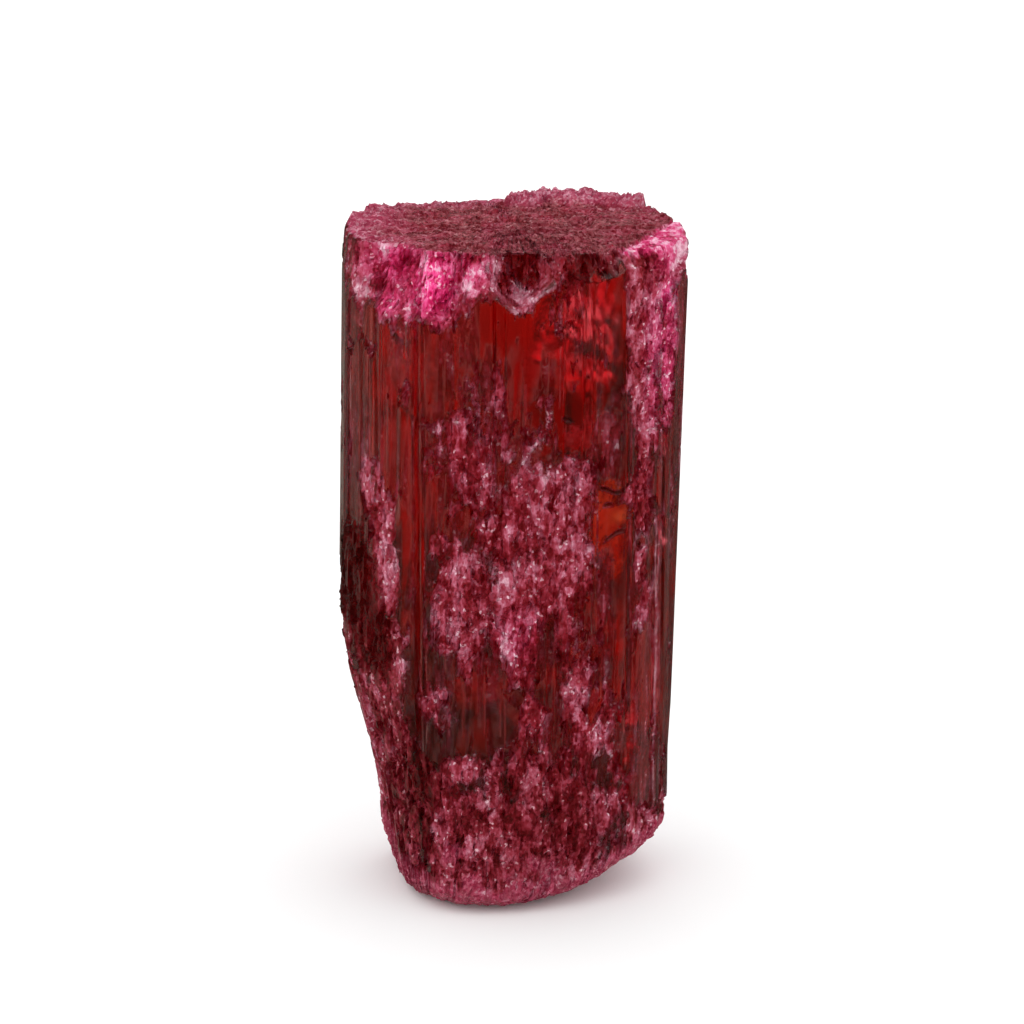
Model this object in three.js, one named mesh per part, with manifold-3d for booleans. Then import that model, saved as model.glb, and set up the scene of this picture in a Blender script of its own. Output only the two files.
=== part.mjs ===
// Rubellite tourmaline crystal: one striated prism of rounded triangular section, with a flat sugary
// termination, a broken right shoulder, a chipped front rim, etched hollows in its faces, a corroded
// lower left side and a rounded foot that ends in a small natural flat, on which it stands.
// Millimetres, +Z up along the prism. The origin is the centre of the underside of its bounding box.
import * as THREE from "three";
import { mergeVertices } from "three/addons/utils/BufferGeometryUtils.js";
import Module from "manifold-3d";

// Driving dimensions, in millimetres and degrees
const HEIGHT = 51;
const HALF_WIDTH = 12.75;
const HALF_DEPTH = 9.9;
const RIDGE_BULGE = 0.4; // how far the three blunt ridges, at bearings 0, 120 and 240, stand out

// The section is uneven: it stands out at the back right, and is flatter beside that ridge.
const UNEVEN_SIDES = [
  { bearing: 56, spread: 24, amount: 1.15 },
  { bearing: 16, spread: 17, amount: -0.8 },
  { bearing: 107, spread: 26, amount: -1.5 },
];

// The prism leans: each face moves in by this share of the distance below the termination.
const TAPER_ALL_ROUND = 0.006;
const TAPER_TO_RIGHT = 0.024;

// Outward bearing of each prism face, seen from above: 0 is +X, the right, and -90 is -Y, the front.
const FACE_BEARINGS = [
  -168, -150, -139, -128, -108, -98, -84, -70, -60, -50, -40, -28, -12,
  4, 19, 36, 52, 66, 79, 92, 104, 118, 133, 147, 162, 177,
];
const POINTS_PER_FACE = 3;

// Foot: a flat to stand on, and a rounding from there up to the prism faces
const FLAT_CENTRE = -2.3;
const FLAT_HALF_WIDTH = 5.8;
const FLAT_HALF_DEPTH = 6.2;
const FOOT_RISE_FRONT = 1.7;
const FOOT_RISE_LEFT = 4.8;
const FOOT_RISE_RIGHT = 5.4;
const FOOT_BEND_RIGHT = 0.66; // 1 is a full quarter-round, as elsewhere; less is nearer to a chamfer
const FOOT_STEPS = 6;
const FLAT_RINGS = [0.45];

// Corroded lower left side
const CORROSION_BEARING = -172;
const CORROSION_SPREAD = 64;
const CORROSION_TOP = 22;
const CORROSION_FULL = 1;
const CORROSION_DEPTH = 4.2;

// Body and termination
const BODY_ROWS = 24;
const RIM_ROUNDING = 0.45;
const RIM_DROP = 0.05;
const TOP_RINGS = [0.93, 0.72, 0.46, 0.22];
const TOP_RELIEF = 0.16;

// The faces are uneven low down, and smooth above.
const SKIN_RELIEF = 0.1;
const SKIN_UNEVEN_BELOW = 20;
const SKIN_SMOOTH_ABOVE = 40;
const FOOT_LUMPS = 0.2;

// Etched hollows in the faces: across and up are the centre, on the front side or the back. The floor of
// a hollow is level out to this share of its reach, and slopes up from there to its edge.
const HOLLOW_FLOOR = 0.55;
const HOLLOWS = [
  { side: "front", across: 0.6, up: 26.6, halfWidth: 3.6, halfHeight: 8.5, depth: 0.55 },
  { side: "front", across: -4.2, up: 20.8, halfWidth: 2.6, halfHeight: 5, depth: 0.45 },
  { side: "front", across: -10.3, up: 28.7, halfWidth: 1.3, halfHeight: 5, depth: 0.45 },
  { side: "front", across: 10.1, up: 40.2, halfWidth: 1.2, halfHeight: 9, depth: 0.35 },
  { side: "front", across: 4.6, up: 12, halfWidth: 3.2, halfHeight: 5, depth: 0.4 },
  { side: "front", across: -5.5, up: 9, halfWidth: 3.4, halfHeight: 5, depth: 0.45 },
  { side: "front", across: -6.2, up: 51.5, halfWidth: 6.9, halfHeight: 5.6, depth: 2.2 },
  { side: "front", across: 0.9, up: 50.6, halfWidth: 2.6, halfHeight: 4, depth: 1.9 },
  { side: "front", across: 5.7, up: 51.5, halfWidth: 3.8, halfHeight: 3, depth: 0.9 },
  { side: "back", across: 3.5, up: 30.8, halfWidth: 3.2, halfHeight: 9, depth: 0.5 },
  { side: "back", across: -5, up: 14, halfWidth: 3.6, halfHeight: 6.5, depth: 0.5 },
  { side: "back", across: 8, up: 12, halfWidth: 2.2, halfHeight: 6, depth: 0.4 },
];

// Chips out of the rim: a flattened polyhedron, with its centre, half sizes and turn about Z.
const CHIPS = [
  { at: [-10.4, -6.2, 50.3], half: [1.6, 1.2, 1.0], turn: 30 },
  { at: [-7.0, -8.4, 49.3], half: [2.0, 1.1, 1.2], turn: -15 },
  { at: [-3.4, -9.6, 49.9], half: [1.9, 1.3, 1.1], turn: 8 },
  { at: [11.6, -5.6, 48.6], half: [1.8, 1.4, 1.7], turn: 40 },
  { at: [-6.5, 8.5, 50.6], half: [2.3, 1.3, 0.9], turn: 20 },
  { at: [6.2, 9.8, 50.4], half: [1.8, 1.2, 1.1], turn: -35 },
];

// Broken right shoulder: a slab of space whose underside slopes down to the right and the front.
const SHOULDER_POINT = [9.6, -2.0, 50.7];
const SHOULDER_TURN = -27;
const SHOULDER_DIP_RIGHT = 12;
const SHOULDER_DIP_FRONT = 2;
const SHOULDER_SLAB = [8, 26, 6];

const radians = THREE.MathUtils.degToRad;
const { smoothstep } = THREE.MathUtils;

// Distance from the axis to the face of this bearing, at a height: an ellipse's tangent, with the three
// ridges, the uneven sides and the taper.
function faceDistance(bearing, z) {
  const across = HALF_WIDTH * Math.cos(radians(bearing));
  const along = HALF_DEPTH * Math.sin(radians(bearing));
  const uneven = UNEVEN_SIDES.reduce(
    (sum, side) => sum + side.amount * Math.exp(-(((bearing - side.bearing) / side.spread) ** 2)),
    0,
  );
  const section = Math.hypot(across, along) + RIDGE_BULGE * Math.cos(radians(3 * bearing)) + uneven;
  const taper = TAPER_ALL_ROUND + TAPER_TO_RIGHT * Math.cos(radians(bearing));
  return section - taper * (HEIGHT - z);
}

// The edge between two neighbouring faces, where their planes meet at a height.
function edgePoint(bearingA, bearingB, z) {
  const [a, b] = [radians(bearingA), radians(bearingB)];
  const [da, db] = [faceDistance(bearingA, z), faceDistance(bearingB, z)];
  const sine = Math.sin(b - a);
  return new THREE.Vector2(
    (da * Math.sin(b) - db * Math.sin(a)) / sine,
    (db * Math.cos(a) - da * Math.cos(b)) / sine,
  );
}

// The prism's outline at a height, counter-clockwise seen from above.
function outline(z) {
  const count = FACE_BEARINGS.length;
  const edges = FACE_BEARINGS.map((bearing, i) => edgePoint(bearing, FACE_BEARINGS[(i + 1) % count], z));
  return edges.flatMap((edge, i) => {
    const next = edges[(i + 1) % count];
    return Array.from({ length: POINTS_PER_FACE }, (_, k) => edge.clone().lerp(next, k / POINTS_PER_FACE));
  });
}

// Natural unevenness, between -1 and 1.
function unevenness(x, y, z) {
  const broad = Math.sin(1.3 * x + 0.7 * z + 1.1) * Math.cos(1.1 * y - 0.5 * z + 0.4);
  const fine = Math.sin(2.9 * x - 2.1 * y + 0.3) * Math.cos(2.6 * z + 1.7 * y - 0.8);
  return 0.6 * broad + 0.4 * fine;
}

// 1 in the middle of an etched hollow, 0 at its edge and beyond.
function insideHollow(hollow, x, y, z) {
  if ((hollow.side === "front") !== y < 0) return 0;
  const reach = Math.hypot((x - hollow.across) / hollow.halfWidth, (z - hollow.up) / hollow.halfHeight);
  return 1 - smoothstep(reach, HOLLOW_FLOOR, 1);
}

// How far the surface has been eaten away at a point of the prism.
function eatenAway(x, y, z) {
  const bearing = THREE.MathUtils.radToDeg(Math.atan2(y, x));
  const off = Math.abs(THREE.MathUtils.euclideanModulo(bearing - CORROSION_BEARING + 180, 360) - 180);
  const nearBearing = 1 - smoothstep(off, 0, CORROSION_SPREAD);
  const lowDown = 1 - smoothstep(z, CORROSION_FULL, CORROSION_TOP);
  const corroded = CORROSION_DEPTH * nearBearing * lowDown;
  const etched = HOLLOWS.reduce((sum, hollow) => sum + hollow.depth * insideHollow(hollow, x, y, z), 0);
  const rough = SKIN_RELIEF * (1 + corroded) * (1 - smoothstep(z, SKIN_UNEVEN_BELOW, SKIN_SMOOTH_ABOVE));
  return corroded + etched + rough * (0.5 + 0.5 * unevenness(x, y, z));
}

// The outline with the eaten-away depth taken off towards the axis.
function skin(z) {
  return outline(z).map((p) => {
    const length = p.length();
    return p.clone().multiplyScalar((length - eatenAway(p.x, p.y, z)) / length);
  });
}

// Radius of the flat to stand on, in the direction of a point.
function flatRadius(p) {
  const angle = Math.atan2(p.y, p.x);
  return 1 / Math.hypot(Math.cos(angle) / FLAT_HALF_WIDTH, Math.sin(angle) / FLAT_HALF_DEPTH);
}

// How high the foot's rounding reaches, below a point of the prism.
function footRise(p) {
  const sideways = p.x / p.length();
  const sideRise = sideways > 0 ? FOOT_RISE_RIGHT : FOOT_RISE_LEFT;
  return FOOT_RISE_FRONT + (sideRise - FOOT_RISE_FRONT) * sideways ** 2;
}

// How high the foot's rounding has climbed below a point of the prism, after turning this far from level.
function footClimb(p, turn) {
  const bend = 1 + (FOOT_BEND_RIGHT - 1) * Math.max(p.x / p.length(), 0);
  return footRise(p) * (1 - Math.cos(turn)) ** bend;
}

// Rings of points from the middle of the foot, over the prism, to the middle of the termination.
function crystalRings() {
  const foot = skin(FOOT_RISE_LEFT);
  const flatEdge = foot.map((p) => p.clone().setLength(flatRadius(p)).add(new THREE.Vector2(FLAT_CENTRE, 0)));
  const rings = FLAT_RINGS.map((share) =>
    flatEdge.map((p) => new THREE.Vector3(FLAT_CENTRE + (p.x - FLAT_CENTRE) * share, p.y * share, 0)),
  );
  for (let step = 0; step < FOOT_STEPS; step += 1) {
    const turn = (step / FOOT_STEPS) * (Math.PI / 2);
    rings.push(
      foot.map((p, i) => {
        const lumps = step === 0 ? 0 : FOOT_LUMPS * unevenness(p.x, p.y, step);
        const rounded = flatEdge[i].clone().lerp(p, Math.sin(turn));
        rounded.setLength(rounded.length() - lumps);
        return new THREE.Vector3(rounded.x, rounded.y, footClimb(p, turn));
      }),
    );
  }
  const bodyTop = HEIGHT - RIM_ROUNDING;
  for (let row = 0; row <= BODY_ROWS; row += 1) {
    const share = row / BODY_ROWS;
    rings.push(
      foot.map((low, i) => {
        const z = THREE.MathUtils.lerp(footRise(low), bodyTop, share);
        const p = skin(z)[i];
        return new THREE.Vector3(p.x, p.y, z);
      }),
    );
  }
  const rim = skin(bodyTop);
  rings.push(
    rim.map((p) => {
      const inner = p.clone().setLength(p.length() - RIM_ROUNDING);
      return new THREE.Vector3(inner.x, inner.y, HEIGHT - RIM_DROP);
    }),
  );
  TOP_RINGS.forEach((share) => {
    rings.push(
      rim.map((p) => {
        const z = HEIGHT - TOP_RELIEF * (0.5 + 0.5 * unevenness(p.x * share, p.y * share, 0));
        return new THREE.Vector3(p.x * share, p.y * share, z);
      }),
    );
  });
  return rings;
}

// A closed surface through the rings, fanned to a point at both ends.
function closedSurface(rings) {
  const around = rings[0].length;
  const points = rings.flat();
  const bottom = points.push(new THREE.Vector3(FLAT_CENTRE, 0, 0)) - 1;
  const top = points.push(new THREE.Vector3(0, 0, HEIGHT - TOP_RELIEF / 2)) - 1;
  const last = (rings.length - 1) * around;
  const triangles = [];
  for (let j = 0; j < around; j += 1) {
    const next = (j + 1) % around;
    triangles.push(bottom, next, j, top, last + j, last + next);
    for (let k = 0; k < last; k += around) {
      triangles.push(k + j, k + next, k + around + next, k + j, k + around + next, k + around + j);
    }
  }
  const geometry = new THREE.BufferGeometry().setFromPoints(points);
  geometry.setIndex(triangles);
  return geometry;
}

const wasm = await Module();
wasm.setup();

function solidFrom(geometry) {
  const bare = geometry.clone();
  bare.deleteAttribute("normal");
  bare.deleteAttribute("uv");
  const merged = mergeVertices(bare, 1e-4);
  return new wasm.Manifold(
    new wasm.Mesh({
      numProp: 3,
      vertProperties: merged.attributes.position.array,
      triVerts: new Uint32Array(merged.index.array),
    }),
  );
}

function geometryFrom(solid) {
  const mesh = solid.getMesh();
  const geometry = new THREE.BufferGeometry();
  geometry.setAttribute("position", new THREE.BufferAttribute(new Float32Array(mesh.vertProperties), 3));
  geometry.setIndex(new THREE.BufferAttribute(new Uint32Array(mesh.triVerts), 1));
  geometry.computeVertexNormals();
  return geometry;
}

function chipSpace({ at, half, turn }) {
  return new THREE.DodecahedronGeometry(1)
    .rotateX(0.5)
    .scale(...half)
    .rotateZ(radians(turn))
    .translate(...at);
}

function shoulderSpace() {
  return new THREE.BoxGeometry(...SHOULDER_SLAB)
    .translate(SHOULDER_SLAB[0] / 2, 0, SHOULDER_SLAB[2] / 2)
    .rotateY(radians(SHOULDER_DIP_RIGHT))
    .rotateX(radians(SHOULDER_DIP_FRONT))
    .rotateZ(radians(SHOULDER_TURN))
    .translate(...SHOULDER_POINT);
}

function crystalGeometry() {
  const spaces = [...CHIPS.map(chipSpace), shoulderSpace()];
  const solid = spaces.reduce(
    (left, space) => left.subtract(solidFrom(space)),
    solidFrom(closedSurface(crystalRings())),
  );
  const geometry = geometryFrom(solid);
  geometry.computeBoundingBox();
  const centre = geometry.boundingBox.getCenter(new THREE.Vector3());
  return geometry.translate(-centre.x, -centre.y, 0);
}

const rubellite = new THREE.MeshStandardMaterial({ color: 0x8a1f30, roughness: 0.25, metalness: 0 });

const crystal = new THREE.Mesh(crystalGeometry(), rubellite);
crystal.name = "tourmaline_crystal";

const specimen = new THREE.Group();
specimen.add(crystal);

export default specimen;
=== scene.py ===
"""Rubellite tourmaline crystal, standing upright on its foot: looks, light and camera.

The crystal is one clear red prism. Its skin is made here in millimetres as a fine surface over the same
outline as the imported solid: striated growth faces, etched and frosted patches, a chipped rim, a sugary
termination and a corroded foot. Fractures and growth tubes are sealed inside it.
"""

import math

import bpy
import numpy as np
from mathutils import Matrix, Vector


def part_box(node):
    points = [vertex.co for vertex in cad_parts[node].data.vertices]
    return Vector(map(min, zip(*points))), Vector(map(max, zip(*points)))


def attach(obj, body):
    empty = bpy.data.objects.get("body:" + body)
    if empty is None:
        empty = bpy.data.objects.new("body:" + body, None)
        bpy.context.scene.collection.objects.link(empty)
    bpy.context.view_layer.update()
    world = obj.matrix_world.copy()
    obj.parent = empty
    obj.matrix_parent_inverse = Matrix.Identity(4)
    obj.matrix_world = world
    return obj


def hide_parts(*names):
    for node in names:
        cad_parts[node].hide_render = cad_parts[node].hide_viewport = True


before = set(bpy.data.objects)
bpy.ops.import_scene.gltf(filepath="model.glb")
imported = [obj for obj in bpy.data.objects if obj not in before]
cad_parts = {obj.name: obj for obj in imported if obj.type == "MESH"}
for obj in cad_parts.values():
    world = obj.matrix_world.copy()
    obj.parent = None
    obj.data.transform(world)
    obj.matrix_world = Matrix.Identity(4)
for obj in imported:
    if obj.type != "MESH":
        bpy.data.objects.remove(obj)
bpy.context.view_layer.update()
NODE = "tourmaline_crystal"
MM = 0.001

# ---------------------------------------------------------------- driving dimensions, in millimetres
HEIGHT = 51.0
HALF_WIDTH = 12.75
HALF_DEPTH = 9.9
RIDGE_BULGE = 0.4
UNEVEN_SIDES = [(56, 24, 1.15), (16, 17, -0.8), (107, 26, -1.5)]
TAPER_ALL_ROUND = 0.006
TAPER_TO_RIGHT = 0.024
FACE_BEARINGS = [
    -168, -150, -139, -128, -108, -98, -84, -70, -60, -50, -40, -28, -12,
    4, 19, 36, 52, 66, 79, 92, 104, 118, 133, 147, 162, 177,
]

FLAT_CENTRE = -2.3
FLAT_HALF_WIDTH = 5.8
FLAT_HALF_DEPTH = 6.2
FOOT_RISE_FRONT = 1.7
FOOT_RISE_LEFT = 4.8
FOOT_RISE_RIGHT = 5.4
FOOT_BEND_RIGHT = 0.66

CORROSION_BEARING = -172
CORROSION_SPREAD = 64
CORROSION_TOP = 22
CORROSION_FULL = 1
CORROSION_DEPTH = 4.2

# Fineness of the surface
COLUMNS = 1100
BODY_ROWS = 380
FOOT_ROWS = 46
TOP_ROWS = 84
FLAT_ROWS = 15
TRIANGLES = 190_000
# Columns each way over which the outward direction turns from one face to the next
EDGE_BLEND = 9


# ---------------------------------------------------------------- noise
def whole_hash(ix, iy, iz, seed):
    """A repeatable random number between 0 and 1 for each whole-numbered place."""
    mixed = (ix * 73856093) ^ (iy * 19349663) ^ (iz * 83492791) ^ (seed * 2654435761)
    mixed = (mixed ^ (mixed >> 13)) * 1274126177 & 0xFFFFFFFF
    mixed = (mixed ^ (mixed >> 16)) * 2246822519 & 0xFFFFFFFF
    return ((mixed ^ (mixed >> 15)) & 0xFFFFFF) / float(0x1000000)


def smooth_noise(points, seed):
    """Smooth noise between -1 and 1 over points of 3 coordinates, with features about 1 across."""
    base = np.floor(points).astype(np.int64)
    part = points - base
    ease = part * part * (3 - 2 * part)
    total = np.zeros(len(points))
    for dx in (0, 1):
        for dy in (0, 1):
            for dz in (0, 1):
                weight = np.ones(len(points))
                for axis, step in enumerate((dx, dy, dz)):
                    weight *= ease[:, axis] if step else 1 - ease[:, axis]
                total += weight * whole_hash(base[:, 0] + dx, base[:, 1] + dy, base[:, 2] + dz, seed)
    return total * 2 - 1


def layered_noise(points, seed, layers, gain):
    """Noise with finer and finer detail, between about -1 and 1."""
    total, size, most = 0, 1.0, 0
    for layer in range(layers):
        total = total + size * smooth_noise(points * 2.03**layer, seed + 17 * layer)
        most += size
        size *= gain
    return total / most * 1.6


def chips(points, seed, tilt=1.0):
    """Broken-stone relief: each cell is a small plane at its own level and slope."""
    base = np.floor(points).astype(np.int64)
    nearest = np.full(len(points), 9.0)
    nearest_cell = base
    nearest_off = np.zeros_like(points)
    for dx in (-1, 0, 1):
        for dy in (-1, 0, 1):
            for dz in (-1, 0, 1):
                cell = base + (dx, dy, dz)
                places = [whole_hash(*cell.T, seed + k) for k in range(3)]
                off = points - cell - np.stack(places, axis=1)
                far = np.sqrt((off**2).sum(axis=1))
                closer = (far < nearest)[:, None]
                nearest_cell = np.where(closer, cell, nearest_cell)
                nearest_off = np.where(closer, off, nearest_off)
                nearest = np.minimum(nearest, far)
    slope = [whole_hash(*nearest_cell.T, seed + 5 + k) - 0.5 for k in range(3)]
    level = whole_hash(*nearest_cell.T, seed + 9) - 0.5
    return level + tilt * (nearest_off * np.stack(slope, axis=1)).sum(axis=1) * 2


def stretched(x, y, z, wide, tall):
    """Points for a pattern whose features are this wide round the crystal and this tall, in millimetres."""
    return np.stack([x / wide, y / wide, z / tall], axis=-1).reshape(-1, 3)


def noise_field(x, y, z, seed, wide, tall, layers=1, gain=0.55):
    """Layered noise with features this wide and tall, in millimetres."""
    return layered_noise(stretched(x, y, z, wide, tall), seed, layers, gain).reshape(x.shape)


def chip_field(x, y, z, seed, wide, tall, tilt=1.0):
    """Broken-stone relief with chips this wide and tall, in millimetres."""
    return chips(stretched(x, y, z, wide, tall), seed, tilt).reshape(x.shape)


def ramp(value, low, high):
    """0 below low, 1 above high, eased between them."""
    share = np.clip((value - low) / (high - low), 0, 1)
    return share * share * (3 - 2 * share)


def bell(value, middle, half_width):
    """1 at the middle, falling off to both sides."""
    return np.exp(-(((value - middle) / half_width) ** 2))


# ---------------------------------------------------------------- the plain prism
def face_distance(bearing, z):
    """Distance from the axis to a prism face: an ellipse's tangent, three blunt ridges, bulges and taper."""
    turn = math.radians(bearing)
    section = math.hypot(HALF_WIDTH * math.cos(turn), HALF_DEPTH * math.sin(turn))
    for middle, spread, amount in UNEVEN_SIDES:
        section += amount * math.exp(-(((bearing - middle) / spread) ** 2))
    taper = TAPER_ALL_ROUND + TAPER_TO_RIGHT * math.cos(turn)
    return section + RIDGE_BULGE * math.cos(3 * turn) - taper * (HEIGHT - z)


def prism_edges(z):
    """Where each face meets the next one, at a height."""
    corners = []
    for here, after in zip(FACE_BEARINGS, FACE_BEARINGS[1:] + FACE_BEARINGS[:1]):
        a, b = math.radians(here), math.radians(after)
        da, db = face_distance(here, z), face_distance(after, z)
        sine = math.sin(b - a)
        corners.append(
            ((da * math.sin(b) - db * math.sin(a)) / sine, (db * math.cos(a) - da * math.cos(b)) / sine)
        )
    return np.array(corners)


def smeared(values, reach):
    """The running mean of a closed ring of values."""
    kernel = np.ones(2 * reach + 1) / (2 * reach + 1)
    padded = np.concatenate([values[-reach:], values, values[:reach]])
    return np.convolve(padded, kernel, mode="valid")


class Prism:
    """Columns up the prism, evenly spaced round it: each point is linear in height."""

    def __init__(self):
        low, high = prism_edges(0), prism_edges(HEIGHT)
        ends = np.roll(high, -1, axis=0)
        lengths = np.hypot(*(ends - high).T)
        starts = np.concatenate([[0], np.cumsum(lengths)])
        self.girth = starts[-1]
        along = (np.arange(COLUMNS) + 0.5) / COLUMNS * self.girth
        face = np.searchsorted(starts, along, side="right") - 1
        share = ((along - starts[face]) / lengths[face])[:, None]
        after = (face + 1) % len(FACE_BEARINGS)
        self.low = low[face] * (1 - share) + low[after] * share
        self.high = high[face] * (1 - share) + high[after] * share
        # the face between corner k and corner k + 1 is the one after bearing k
        self.bearing = np.array(FACE_BEARINGS, float)[after]
        turn = np.radians(self.bearing)
        normal = np.stack([smeared(np.cos(turn), EDGE_BLEND), smeared(np.sin(turn), EDGE_BLEND)], axis=1)
        self.outward = normal / np.linalg.norm(normal, axis=1)[:, None]

    def at(self, z):
        """Points (rows, columns, 2) at heights z, of shape (rows, columns)."""
        share = (z / HEIGHT)[..., None]
        return self.low * (1 - share) + self.high * share


# ---------------------------------------------------------------- where the skin is etched or broken
# Etched patches on each side: across, up, half width, half height, and how much of the patch is etched.
ETCHED = {
    "front": [
        (-11.0, 49.0, 2.0, 3.6, 1.2),
        (-8.2, 49.2, 2.8, 4.2, 1.2),
        (-5.2, 49.2, 2.6, 4.2, 1.2),
        (-2.4, 50.0, 2.4, 2.6, 1.2),
        (0.8, 50.0, 2.0, 2.4, 1.0),
        (0.8, 47.5, 1.0, 1.2, 1.2),
        (5.3, 51.2, 4.2, 2.7, 1.2),
        (8.9, 49.6, 0.8, 3.4, 1.2),
        (11.0, 49.2, 2.2, 3.4, 1.2),
        (9.5, 44.8, 1.4, 4.8, 1.05),
        (9.5, 38.6, 1.4, 6.0, 1.0),
        (9.4, 32.0, 1.1, 5.0, 0.90),
        (9.3, 24.0, 0.8, 5.5, 0.62),
        (11.4, 41.5, 0.8, 7.5, 0.75),
        (1.1, 31.0, 2.8, 6.4, 1.0),
        (0.8, 24.6, 2.8, 6.2, 1.05),
        (-3.4, 26.4, 2.8, 4.6, 0.84),
        (-3.8, 22.6, 2.6, 3.8, 0.86),
        (3.9, 32.0, 2.4, 4.0, 0.78),
        (3.8, 27.0, 2.2, 4.2, 0.76),
        (3.2, 21.8, 1.8, 3.6, 0.66),
        (-2.2, 35.0, 3.4, 5.0, 0.62),
        (2.2, 37.0, 2.0, 3.0, 0.46),
        (-1.0, 41.5, 0.7, 5.2, 0.52),
        (-2.7, 40.0, 0.6, 4.4, 0.42),
        (-5.0, 33.6, 1.8, 4.0, 0.42),
        (-10.3, 32.8, 1.1, 3.6, 0.78),
        (-9.6, 29.0, 1.1, 3.6, 1.2),
        (-8.95, 26.0, 0.85, 3.4, 1.2),
        (-11.4, 23.0, 2.4, 6.4, 1.2),
        (-9.9, 19.0, 2.6, 5.0, 1.0),
        (-10.0, 9.0, 3.4, 11.0, 1.1),
        (-12.4, 9.0, 2.4, 13.0, 1.2),
        (-6.0, 16.4, 1.6, 3.4, 0.55),
        (-6.4, 8.6, 2.6, 5.4, 0.72),
        (4.6, 18.0, 2.4, 4.6, 0.80),
        (1.9, 15.4, 1.8, 2.6, 0.64),
        (6.6, 14.0, 1.8, 3.6, 0.55),
        (2.6, 9.6, 4.6, 4.6, 0.86),
        (-1.4, 7.0, 1.0, 6.2, 1.1),
        (-3.4, 11.6, 3.0, 1.3, 0.80),
        (0.0, 4.6, 12.0, 5.8, 1.05),
        (0.0, 1.2, 16.0, 4.6, 1.2),
        (10.6, 3.2, 3.0, 4.6, 1.0),
    ],
    "back": [
        (0.0, 50.4, 14.0, 1.8, 1.0),
        (6.5, 48.0, 3.4, 4.0, 0.9),
        (3.5, 31.0, 2.8, 11.0, 0.95),
        (-2.5, 22.0, 3.6, 7.0, 0.70),
        (-9.0, 37.5, 1.6, 9.0, 0.85),
        (8.8, 16.0, 2.8, 9.0, 0.85),
        (-5.0, 11.0, 5.0, 7.0, 0.80),
        (-11.0, 12.0, 4.4, 11.0, 1.1),
        (-12.4, 9.0, 2.4, 13.0, 1.2),
        (0.0, 4.0, 15.0, 6.6, 0.95),
        (0.0, 1.0, 16.0, 5.0, 1.2),
    ],
}

# Where a painted pink to magenta glow stands for light seen through thin broken edges: laid out as the etched
# patches are.
PAINTED_GLOW_PATCHES = {
    "front": [
        (-6.3, 48.2, 2.6, 3.2, 1.0),
        (-9.4, 49.4, 2.6, 2.6, 0.6),
        (-3.4, 49.4, 2.0, 2.2, 0.5),
        (-9.3, 46.8, 1.4, 1.6, 0.6),
        (11.4, 49.6, 1.6, 2.2, 0.5),
        (11.2, 42.0, 1.8, 7.5, 0.45),
        (11.5, 46.4, 0.9, 1.6, 0.9),
        (0.4, 21.8, 2.2, 3.0, 0.15),
    ],
    "back": [
        (6.0, 48.4, 4.0, 3.5, 0.6),
    ],
}

# Where the frost is palest: partly paler frost, partly painted highlights on the broken ledges of the rim.
PALE_AND_HIGHLIT_PATCHES = {
    "front": [
        (-10.9, 50.2, 0.8, 1.2, 0.5),
        (-11.2, 46.9, 1.1, 0.6, 0.8),
        (-10.6, 50.6, 1.6, 0.7, 0.6),
        (-3.6, 48.3, 0.8, 0.7, 0.8),
        (-5.4, 50.5, 2.4, 0.5, 0.7),
        (-2.0, 49.2, 1.6, 1.4, 0.9),
        (0.8, 47.4, 0.9, 1.0, 1.0),
        (8.9, 49.6, 0.6, 3.2, 0.5),
        (12.2, 49.4, 0.9, 1.4, 0.9),
        (-9.3, 27.6, 1.2, 4.0, 0.3),
        (9.4, 42.0, 1.3, 9.0, 0.22),
        (0.9, 31.6, 1.6, 3.4, 0.15),
        (3.8, 29.0, 1.4, 2.0, 0.2),
        (-1.4, 6.0, 1.0, 5.0, 0.25),
        (4.4, 2.0, 6.0, 2.2, 0.35),
    ],
    "back": [
        (4.0, 50.6, 8.0, 1.0, 0.6),
    ],
}

# Where the broken or corroded skin is darkest: partly its own dark stain, partly painted shade in the rim's
# cavities and the recess under it.
STAINED_AND_SHADED_PATCHES = {
    "front": [
        (-11.8, 25.0, 2.0, 5.6, 1.0),
        (-10.6, 20.6, 2.2, 3.6, 0.8),
        (-6.8, 11.0, 2.6, 4.0, 0.5),
        (5.4, 50.4, 4.0, 2.6, 0.5),
        (-9.0, 10.0, 3.4, 9.0, 0.35),
        (0.9, 49.8, 1.6, 1.8, 0.5),
        (-9.9, 47.6, 0.9, 0.6, 0.4),
        (-8.8, 49.6, 1.2, 0.6, 0.3),
        (-3.2, 50.2, 0.9, 0.7, 0.6),
        (10.4, 48.8, 1.2, 1.6, 0.25),
        (2.8, 19.0, 2.0, 2.0, 0.4),
        (1.5, 6.5, 6.0, 7.0, 0.35),
    ],
    "back": [
        (-11.6, 23.0, 3.0, 5.0, 0.8),
    ],
}

# Where a thin film of etching lies on faces that still show their striations.
FILMED = {
    "front": [
        (11.3, 43.0, 1.7, 7.5, 1.0),
        (11.2, 31.0, 0.9, 5.0, 0.45),
        (10.2, 22.0, 0.9, 6.0, 0.50),
        (-1.6, 42.0, 2.6, 5.0, 0.55),
        (-4.6, 35.0, 3.0, 5.0, 0.60),
        (6.6, 36.5, 2.2, 4.0, 0.50),
        (-10.6, 35.0, 1.6, 4.5, 0.60),
        (6.6, 24.0, 2.0, 5.0, 0.40),
        (9.8, 7.5, 1.8, 4.5, 0.75),
    ],
    "back": [
        (0.0, 30.0, 8.0, 12.0, 0.30),
    ],
}

# Where the faces are clear, with no film.
CLEAR = {
    "front": [
        (5.9, 44.5, 2.9, 4.6, 1.0),
        (4.2, 46.0, 2.2, 3.2, 0.9),
        (7.2, 30.0, 1.8, 3.4, 0.7),
    ],
}
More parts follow.
